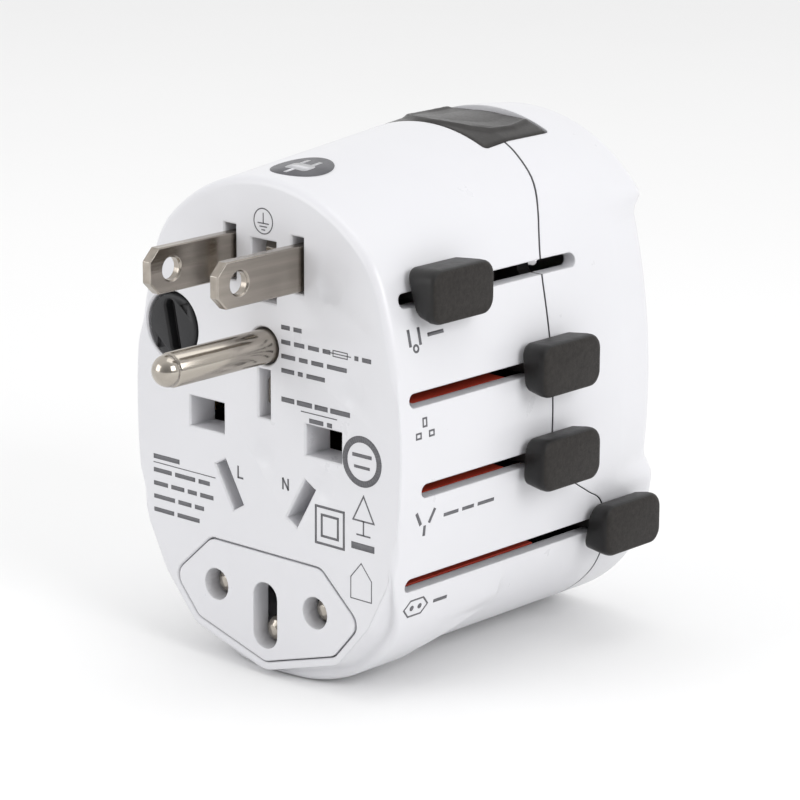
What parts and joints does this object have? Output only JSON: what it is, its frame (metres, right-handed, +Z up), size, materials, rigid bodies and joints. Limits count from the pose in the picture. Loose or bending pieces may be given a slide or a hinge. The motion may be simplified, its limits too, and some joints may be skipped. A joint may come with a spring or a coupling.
{
  "type": "universal travel adapter",
  "caption": "Travel plug adapter with slide-out pin sets for four plug standards, a universal socket at the back, a fuse cap and a release button.",
  "frame": {"origin": "centre of the flat underside the adapter stands on, midway between the plug face and the socket face", "axes": "+Z up, -Y is the way the plug pins point, +Y is the socket side, +X is the side with the slide knobs"},
  "size_m": [0.0553, 0.078, 0.0741],
  "materials": {
    "white_plastic": "satin, slightly cool white",
    "red_plastic": "moulded red",
    "dark_plastic": "fine-textured dark grey",
    "brass": "stamped brass",
    "steel": "zinc-plated",
    "nickel_plate": "nickel-plated, brushed",
    "fuse_body": "ceramic"
  },
  "bodies": {
    "housing": {"front_housing": "white_plastic", "rear_housing": "white_plastic", "socket_plate": "white_plastic", "pin_guide": "red_plastic", "euro_guide": "red_plastic", "contact_carrier": "dark_plastic", "live_busbar": "brass", "neutral_busbar": "brass", "earth_busbar": "brass", "fuse_sleeve": "dark_plastic", "fuse_clip": "brass", "housing_screw_1": "steel", "housing_screw_2": "steel", "housing_screw_3": "steel", "housing_screw_4": "steel", "button_spring_left": "steel", "button_spring_right": "steel"},
    "usa_slider": {"usa_knob": "dark_plastic", "usa_carriage": "dark_plastic", "usa_blade_left": "nickel_plate", "usa_blade_right": "nickel_plate", "usa_ground_pin": "nickel_plate"},
    "uk_slider": {"uk_knob": "dark_plastic", "uk_carriage": "dark_plastic", "uk_live_holder": "dark_plastic", "uk_bridge": "steel", "uk_live_pin": "nickel_plate", "uk_neutral_pin": "nickel_plate", "uk_earth_pin": "nickel_plate"},
    "aus_slider": {"aus_knob": "dark_plastic", "aus_carriage": "dark_plastic", "aus_live_blade": "nickel_plate", "aus_neutral_blade": "nickel_plate", "aus_earth_blade": "nickel_plate"},
    "euro_slider": {"euro_knob": "dark_plastic", "euro_carriage": "dark_plastic", "euro_pin_left": "nickel_plate", "euro_pin_right": "nickel_plate"},
    "euro_earth": {"euro_earth_pin": "nickel_plate"},
    "insert": {"euro_insert": "white_plastic"},
    "fuse_drawer": {"fuse": "fuse_body"},
    "fuse_cover": {"fuse_cap": "dark_plastic"},
    "button": {"release_button": "dark_plastic"}
  },
  "joints": [
    {"name": "usa_slide", "type": "slide", "parent": "housing", "child": "usa_slider", "axis": [0, 1, 0], "range_m": [0, 0.0235]},
    {"name": "uk_slide", "type": "slide", "parent": "housing", "child": "uk_slider", "axis": [0, -1, 0], "range_m": [0, 0.024]},
    {"name": "aus_slide", "type": "slide", "parent": "housing", "child": "aus_slider", "axis": [0, -1, 0], "range_m": [0, 0.0217]},
    {"name": "euro_slide", "type": "slide", "parent": "housing", "child": "euro_slider", "axis": [0, -1, 0], "range_m": [0, 0.039]},
    {"name": "insert_slide", "type": "slide", "parent": "housing", "child": "insert", "axis": [0, -1, 0], "range_m": [0, 0.0178]},
    {"name": "euro_earth_slide", "type": "slide", "parent": "euro_slider", "child": "euro_earth", "axis": [0, 0, 1], "range_m": [0, 0.005]},
    {"name": "fuse_slide", "type": "slide", "parent": "housing", "child": "fuse_drawer", "axis": [0, -1, 0], "range_m": [0, 0.026]},
    {"name": "fuse_cap_turn", "type": "hinge", "parent": "fuse_drawer", "child": "fuse_cover", "pos_m": [-0.0178, -0.02865, 0.0471], "axis": [0, 1, 0], "range_deg": [0, 90]},
    {"name": "button_press", "type": "slide", "parent": "housing", "child": "button", "axis": [0, 0, -1], "range_m": [0, 0.0015], "stiffness_N_per_m": 400, "deforming": ["button_spring_left", "button_spring_right"]}
  ],
  "couplings": [
    {"joint": "insert_slide", "follows": "euro_slide", "ratio": 0.4564}
  ]
}
